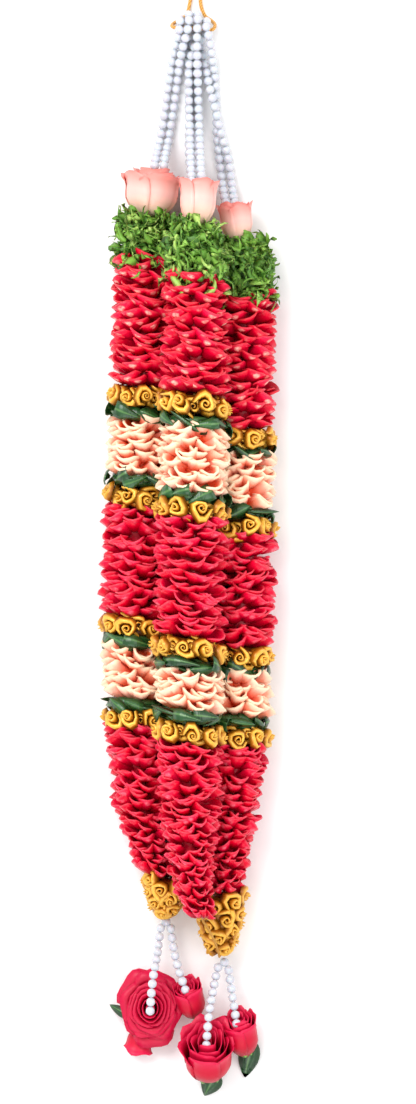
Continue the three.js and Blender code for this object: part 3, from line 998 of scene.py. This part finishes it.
def leaf_ring(column, name, drop, draw):
    piece = new_shape()
    sleeve = heart(drop - 7, drop + 7, rows=2, narrow=20, wide=25)
    add_copy(piece, sleeve, Matrix.Identity(4), 0.0)
    start = draw.uniform(0, ROUND)
    for k in range(BAND_COUNT):
        angle = start + (k + draw.uniform(-0.2, 0.2)) * math.tau / BAND_COUNT
        flip = math.pi if draw.random() < 0.5 else 0
        where = ring_place(
            angle, LEAF_OUTER + draw.uniform(-1.5, 3), drop + draw.uniform(-3, 3),
            draw.uniform(0.9, 1.12), draw.uniform(-0.3, 0.3), draw.uniform(-0.35, 0.35),
            flip + draw.uniform(-0.6, 0.6))
        add_copy(piece, draw.choice(LEAVES), where, draw.random())
    for k in range(BAND_COUNT):
        angle = start + (k + 0.5) * math.tau / BAND_COUNT
        where = ring_place(
            angle, LEAF_INNER, drop + draw.uniform(-2, 2), 1.05, 0, 0, draw.uniform(-0.4, 0.4))
        add_copy(piece, draw.choice(LEAVES), where, draw.random())
    hang(column, piece)
    settle(piece, f"{column}_{name}_leaves", [f"{column}_{name}"], leaf, "leaf")


for column, (_, _, _, _, cuts) in COLUMNS.items():
    for name, first, gold_share, leaf_share in BANDS:
        draw = random.Random(f"{column}{name}")
        top, tall = cuts[first], cuts[first + 1] - cuts[first]
        gold_ring(column, name, top + tall * gold_share, draw)
        leaf_ring(column, name, top + tall * leaf_share, draw)
print("bands:", len(COLUMNS) * len(BANDS))

# %% [markdown]
# ## Greenery
# A collar of loose feathery greenery sits between the rose and the first petals. It is made of
# curled blades, one of them so thin that it serves as a stem. A blade is a triangle drawn out
# along a curl, widest before its middle, so it has a keel like a real one.

# %% Blades
def blade(name, length, width, curl, wave, seed):
    """A blade that runs out along X and curls up, in mm."""
    lean = random.Random(seed).uniform(-0.3, 0.3)
    steps = 6
    shape = new_shape()
    place = Vector((0, 0, 0))
    sections = []
    for step in range(steps + 1):
        t = step / steps
        pitch = 0.2 + curl * t
        heading = Vector((math.cos(pitch), math.sin(wave * t) * 0.6 + lean * t, math.sin(pitch)))
        if step:
            place = place + heading * (length / steps)
        half = width * (0.25 + math.sin(math.pi * min(1, 0.12 + t * 0.88)) ** 0.8) / 2
        side = heading.cross(Vector((0, 0, 1))).normalized() * half
        keel = heading.cross(side).normalized() * (0.22 * half + 0.12)
        sections.append([place - side, place + keel, place + side])
    draw_out(shape, sections, [-1.0, 0.0, 1.0])
    return into_mesh(shape, name)


BLADES = [
    blade("blade_a", 22, 8.0, 2.2, 2.0, 1),
    blade("blade_b", 17, 9.5, 2.8, -2.5, 2),
    blade("blade_c", 25, 6.4, 2.0, 3.5, 3),
    blade("blade_d", 15, 8.6, 3.4, 1.0, 4),
    blade("blade_e", 28, 2.6, 2.6, -3.0, 5),
    blade("blade_f", 20, 7.2, -2.2, 2.5, 6),
]
fern = Finish("feathery_green", Roughness=0.5, Specular_IOR_Level=0.4,
              Subsurface_Weight=0.08, Subsurface_Scale=0.003)
tint = fern.value("tint")
streaks = fern.noise(420, 2.0)
shade = fern.mix((tint * 1.6).held(), paint(60, 112, 36), paint(134, 186, 70))
shade = fern.mix(((tint - 0.6) * 2.2).held(), shade, paint(196, 222, 122))
fern.feed("Base Color", fern.mix((streaks - 0.3).held() * 0.6, shade, paint(146, 192, 88)))
fern.bump(streaks, 0.3, 0.0004)

# %% [markdown]
# ## Collars
# A collar throws a few hundred blades round its column at random, wider towards the petals. The
# ones that reach too far are drawn in, and none rises far past the column's top. The right
# collar is darker.

# %% Collars
BLADE_COUNT = 360
DARKER = {"right": 0.75}


def collar(column):
    top, (bottom, *_) = COLUMNS[column][3:]
    draw = random.Random(f"{column}collar")
    piece = new_shape()
    sleeve = heart(top + 8, bottom, rows=3, narrow=13, wide=21)
    add_copy(piece, sleeve, Matrix.Identity(4), 0.05)
    for _ in range(BLADE_COUNT):
        angle = draw.uniform(0, math.tau)
        t = draw.random()
        drop = top + 2 + t * (bottom - top + 6)
        reach = 17 + 13 * t ** 0.6 + draw.uniform(-7, 2)
        where = ring_place(
            angle, reach, drop, draw.uniform(0.7, 1.15), draw.uniform(-0.8, 1.2),
            draw.uniform(-2.4, 2.4), draw.uniform(-2.5, 2.5))
        tint = draw.random() * DARKER.get(column, 1.0)
        add_copy(piece, draw.choice(BLADES), where, tint)
    limit = COLUMN_R + 4
    for vert in piece.verts:
        spread = math.hypot(vert.co.x, vert.co.z)
        if spread > limit:
            vert.co.x *= limit / spread
            vert.co.z *= limit / spread
        vert.co.y = min(vert.co.y, 10 - top)
    hang(column, piece)
    settle(piece, f"{column}_greenery_blades", [f"{column}_greenery"], fern, "leaf")


for column in COLUMNS:
    collar(column)
print("collars:", len(COLUMNS))

# %% [markdown]
# ## Roses
# A rose is layers of petals round one axis, each layer wider, lower and more open than the one
# inside it. One petal is a grid wrapped round the axis and thickened: it swells from its foot,
# its rim rolls outwards by `roll` and waves by `ruffle`, and `slip` lets one side pass over the
# next petal. `openness` goes from 0, a bud, to 1, a flat open flower.

# %% Rose pattern
ROSE_PETAL_THICK = 0.55


def rose_petal(rose, turn, ring, high, half_angle, openness, roll, ruffle, draw, slip):
    """One petal round Z. `ring` is its radius at the rim and `high` its height, in mm."""
    shape = new_shape()
    bmesh.ops.create_grid(shape, x_segments=8, y_segments=7, size=1)
    along = shape.verts.layers.float["along"]
    across = shape.verts.layers.float["across"]
    phase = draw.uniform(0, ROUND)
    for vert in shape.verts:
        u = vert.co.x
        t = (vert.co.y + 1) / 2
        swell = math.sin(min(1.0, t / 0.55) * math.pi / 2) ** 0.75
        radius = ring * (0.2 + 0.8 * swell) * (1 - 0.16 * (1 - openness) * t ** 3)
        wide = half_angle * (0.62 + 0.38 * math.sin(math.pi * (0.2 + 0.55 * t)))
        rounding = 1 - 0.13 * abs(u) ** 3.5 * t
        rim = max(0.0, t - 0.62) / 0.38
        wave = ruffle * math.sin(1.7 * u * math.pi + phase) * rim ** 1.5
        radius *= 1 + slip * u
        radius += roll * rim ** 2 * (1 - 0.3 * u * u) + wave * 0.6
        height = high * t * rounding - roll * 0.55 * rim ** 3 * openness + wave * 0.6
        angle = turn + u * wide
        vert.co = (radius * math.cos(angle), radius * math.sin(angle), height)
        vert[along] = t
        vert[across] = u
    count = len(shape.verts)
    bmesh.ops.recalc_face_normals(shape, faces=shape.faces)
    shape.normal_update()
    bmesh.ops.solidify(shape, geom=list(shape.faces), thickness=ROSE_PETAL_THICK)
    mark_inner_half(shape, count, lambda place: -place.xy.length)
    petal = into_mesh(shape, "petal")
    add_copy(rose, petal, Matrix.Identity(4), draw.random())
    bpy.data.meshes.remove(petal)


def rose_head(name, radius, tall, layers, openness, ruffle, seed):
    """A rose that stands on the origin with its mouth up Z."""
    draw = random.Random(seed)
    rose = new_shape()
    for layer in range(layers):
        t = layer / (layers - 1)
        count = 2 if layer == 0 else 3 if t < 0.5 else 4 if t < 0.8 else 5
        ring = radius * (0.14 + 0.86 * t ** (1.15 - 0.3 * openness))
        high = tall * (1 - openness * 0.55 * t ** 1.3) * (0.84 + 0.16 * t ** 0.6)
        roll = radius * (0.05 + 0.30 * openness * t + 0.12 * t * t)
        start = draw.uniform(0, ROUND)
        for k in range(count):
            turn = start + (k + draw.uniform(-0.1, 0.1)) * math.tau / count
            half_angle = 1.334 * math.pi / count if count > 2 else 2.024
            rose_petal(rose, turn, ring * (1 + draw.uniform(-0.12, 0.12) / layers),
                       high * draw.uniform(0.95, 1.04), half_angle, openness,
                       roll * draw.uniform(0.6, 1.3), ruffle * t, draw, 0.2 / layers)
    return into_mesh(rose, name)


# %% [markdown]
# ## Sepals and the roses' finish
# Under each rose five sepals spread. They are blades like the greenery's, but straighter. A
# rose's finish goes from its foot's colour through its body's to its rim's, and takes a deeper
# one towards the middle of the petal's inner face.

# %% Sepals and rose finishes
SEPALS = [
    blade("sepal_a", 16, 5.5, 0.9, 0.6, 9),
    blade("sepal_b", 20, 4.5, 1.4, 0.6, 9),
    blade("sepal_c", 13, 5, 0.4, 0.6, 9),
]


def whorl(rose, where, reach, rise, tilt, dark, spread):
    """Five sepals round a rose's foot, with tints from `dark` up by `spread`."""
    sepals = new_shape()
    draw = random.Random(f"{rose}sepals")
    for k in range(5):
        turn = Matrix.Rotation(k * math.tau / 5 + draw.uniform(-0.3, 0.3), 4, "Z")
        out = Matrix.Translation((reach, 0, rise)) @ Matrix.Rotation(-tilt, 4, "Y")
        pattern = draw.choice(SEPALS)
        add_copy(sepals, pattern, where @ turn @ out, dark + draw.random() * spread)
    return sepals


def flower_finish(name, foot, body, rim_colour, deep, **steady):
    finish = Finish(name, **steady)
    along = finish.value("along")
    inside = finish.value("inside")
    tint = finish.value("tint")
    patches = finish.noise(110, 3.0)
    colour = finish.mix((along * 1.9 + (patches - 0.5) * 0.4).held(), foot, body)
    edge = (((along - 0.62) * 2.4).held() + (tint - 0.5) * 0.3).held()
    colour = finish.mix(edge, colour, rim_colour)
    colour = finish.mix((inside * (1.15 - along) * 1.2).held(), colour, deep)
    finish.feed("Base Color", colour)
    veins = finish.noise(500, 3.0, (1.0, 0.35, 1.0))
    finish.feed("Roughness", veins * 0.2 + 0.32)
    finish.bump(veins + patches, 0.25, 0.0006)
    return finish


pink = flower_finish(
    "pink_rose", paint(250, 216, 188), paint(248, 186, 176), paint(238, 130, 120),
    paint(246, 150, 132))
crimson = flower_finish(
    "crimson_rose", paint(150, 2, 30), paint(196, 6, 46), paint(226, 22, 76),
    paint(126, 0, 26), Specular_IOR_Level=0.3)

# %% [markdown]
# ## Pink roses
# There is one at the head of each column, its mouth towards the crown. The left one is the most
# open, and the others are nearly closed.

# %% Pink roses
# Each rose: its mouth, its base, its radius in mm, its openness and its ruffle.
PINK_ROSES = {
    "left": ((-35.5, 156, 33), (-41, 210, 33), 31, 0.42, 1.4),
    "back": ((7, 175, 22), (4.5, 222, 28), 17.5, 0.2, 0.8),
    "front": ((9, 174, 82), (7, 220, 85), 20.5, 0.16, 0.9),
    "right": ((44.5, 194, 31), (49, 235, 33), 18.5, 0.2, 1.1),
}


def planted(mouth, base):
    """The matrix that stands a rose on its base, facing its mouth; sizes go from mm to metres."""
    foot, face = at(*base), at(*mouth)
    return turned(face - foot, foot, 0, MM), (face - foot).length / MM


for column, (mouth, base, radius, openness, ruffle) in PINK_ROSES.items():
    where, tall = planted(mouth, base)
    head = rose_head(f"{column}_pink_pattern", radius * 0.86, tall + 5, 6, openness, ruffle,
                     f"{column}rose")
    piece = new_shape()
    add_copy(piece, head, where, 0.5)
    settle(piece, f"{column}_pink_rose", [f"{column}_rose"], pink, "pink_petal")
    sepals = whorl(column, where, radius * 0.35, 3, 0.8, 0.3, 0.4)
    settle(sepals, f"{column}_rose_sepals", [f"{column}_rose"], fern, "leaf")
print("pink roses:", len(PINK_ROSES))

# %% [markdown]
# ## Red roses
# One of the four is wide open and faces up from the table, with one loose petal hanging out
# below it. The others are a cup and two buds, whose back petals stand taller than the front
# ones, so each is made level first and then leaned.

# %% Red roses
# Each rose: its name, mouth, base, radius, layers, openness, ruffle and lean.
RED_ROSES = [
    ("red_rose_1", (-40, 1002, 38), (-40, 1002, 4), 28, 8, 0.85, 2.4, 0.0),
    ("red_rose_2", (-4.2, 976, 29), (4.5, 1012, 10), 16.5, 5, 0.2, 1.2, 0.15),
    ("red_rose_3", (17, 1027, 49), (19, 1073, 17), 28, 5, 0.34, 2.6, 0.36),
    ("red_rose_4", (47.5, 1007, 34), (56, 1050, 13.4), 18.5, 5, 0.25, 1.4, 0.2),
]


def square_to(axis, wish):
    """The direction nearest to `wish` that is square to an axis."""
    return (wish - axis * axis.dot(wish)).normalized()


def hanging_petal(seed):
    petal = new_shape()
    rose_petal(petal, turn=0, ring=13, high=30, half_angle=1.3, openness=0.9, roll=5,
               ruffle=2.4, draw=random.Random(seed), slip=0.05)
    return into_mesh(petal, "hanging_petal")


def hung(foot, tip):
    """The matrix that lays a petal from its foot to its tip, its outer face up."""
    lie = (at(*tip) - at(*foot)).normalized()
    rise = square_to(lie, Vector((0, 0, 1)))
    stand = Matrix((rise, lie.cross(rise), lie)).transposed().to_4x4()
    return Matrix.Translation(at(*foot)) @ stand @ sized(MM)


def leaned(piece, foot, face, radius, lean):
    """Makes the petals on the crown's side of a rose taller than those in front."""
    axis = (face - foot).normalized()
    back = square_to(axis, Vector((0, 1, 0)))
    for vert in piece.verts:
        offset = vert.co - foot
        share = offset.dot(back) / (radius * MM)
        gain = lean * max(share, share * 0.3) * max(0.0, offset.dot(axis))
        vert.co += axis * gain
    off_the_table(piece)


for name, mouth, base, radius, layers, openness, ruffle, lean in RED_ROSES:
    where, tall = planted(mouth, base)
    head = rose_head(f"{name}_pattern", radius * 0.84, tall, layers, openness, ruffle, name)
    piece = new_shape()
    wide_open = name == "red_rose_1"
    stretch = Matrix.Diagonal((1, 1.18, 1, 1)) if wide_open else Matrix.Identity(4)
    add_copy(piece, head, where @ stretch, 0.5)
    if wide_open:
        add_copy(piece, hanging_petal(name), hung((-47, 1020, 5), (-54, 1051, 0)), 0.9)
    leaned(piece, at(*base), at(*mouth), radius, lean)
    settle(piece, f"{name}_petals", [name], crimson, "rose_petal")
    sepals = whorl(name, where, radius * (0.3 + 0.4 * openness), 2, 0.9, 0.1, 0.3)
    off_the_table(sepals)
    settle(sepals, f"{name}_sepals", [name], fern, "leaf")
print("red roses:", len(RED_ROSES))

# %% [markdown]
# ## Leaves of the red roses
# Each red rose has one leaf at its stalk. It is the bands' creased leaf again, laid from its
# stalk to its tip with its crease upwards.

# %% Rose leaves
# Each leaf: its rose, its stalk, its tip and its width in mm.
ROSE_LEAVES = [
    ("red_rose_1", (-58, 1012, 16), (-78, 1001, 8), 11),
    ("red_rose_2", (6, 1012, 12), (10, 986, 14), 11),
    ("red_rose_3", (26, 1068, 14), (16, 1088, 6), 22),
    ("red_rose_4", (62, 1036, 12), (56, 1068, 4), 22),
]
for name, stalk, tip, width in ROSE_LEAVES:
    foot, point = at(*stalk), at(*tip)
    reach = (point - foot).length / MM
    pattern = creased_leaf(f"{name}_leaf_pattern", reach * 1.25, width, 0.35, 9)
    lie = (point - foot).normalized()
    rise = square_to(lie, Vector((0, 0, 1)))
    stand = Matrix((rise, lie, lie.cross(rise))).transposed().to_4x4()
    middle = foot.lerp(point, 0.45)
    leaf_piece = new_shape()
    add_copy(leaf_piece, pattern, Matrix.Translation(middle) @ stand @ sized(MM), 0.4)
    off_the_table(leaf_piece)
    settle(leaf_piece, f"{name}_leaf", [name], leaf, "leaf")
print("leaves under the red roses:", len(ROSE_LEAVES))

# %% [markdown]
# ## Pendants
# Each garland ends in a knob covered with ribbon roses, over the bottom of the U. A lathe-turned
# core, made with spin, closes the gaps between the roses. They sit round it at steps of about
# 137 degrees, as seeds do in a flower, so no two line up.

# %% Pendants
SEED_STEP = 2.4  # the step round the knob, in radians
# Each pendant: its name, its top, its tip, its radius in mm and its number of roses.
PENDANTS = [
    ("left_pendant", (-23, 876, 28), (-27, 907, 24), 24.5, 20),
    ("right_pendant", (30, 893, 28), (30, 946, 26), 26.5, 26),
]


def pendant_core(radius, tall):
    """The wound ribbon under the roses, turned like a spinning top. In mm."""
    shape = new_shape()
    profile = [(0, -4), (radius * 0.62, -3), (radius * 0.7, tall * 0.3),
               (radius * 0.45, tall * 0.75), (0, tall)]
    verts = [shape.verts.new((x, 0, z)) for x, z in profile]
    edges = [shape.edges.new(pair) for pair in zip(verts, verts[1:])]
    lathed(shape, [*verts, *edges], (0, 0, 1), 16, 0.01)
    # An `across` of 0.4 gives the core the satin's colour part way into its painted groove shade.
    mark(shape, shape.verts, across=0.4)
    return into_mesh(shape, "pendant_core")


for name, top, tip, radius, count in PENDANTS:
    draw = random.Random(name)
    start, end = at(*top), at(*tip)
    tall = (end - start).length / MM
    where = turned(end - start, start, 0, MM)
    piece = new_shape()
    add_copy(piece, pendant_core(radius, tall), where, 0.2)
    for k in range(count):
        t = (k + 0.5) / count
        angle = k * SEED_STEP
        reach = radius * (0.92 - 0.5 * t ** 1.5) - 4
        out = Vector((math.cos(angle), math.sin(angle), 0.15 + 0.9 * t * t)).normalized()
        spot = Vector((math.cos(angle) * reach, math.sin(angle) * reach, -7 + t * (tall + 3)))
        stand = turned(out, spot, draw.uniform(0, ROUND), draw.uniform(0.95, 1.15))
        add_copy(piece, draw.choice(RIBBON_ROSES), where @ stand, draw.random())
    off_the_table(piece)
    settle(piece, f"{name}_ribbon_roses", [name], satin, "gold_ribbon")
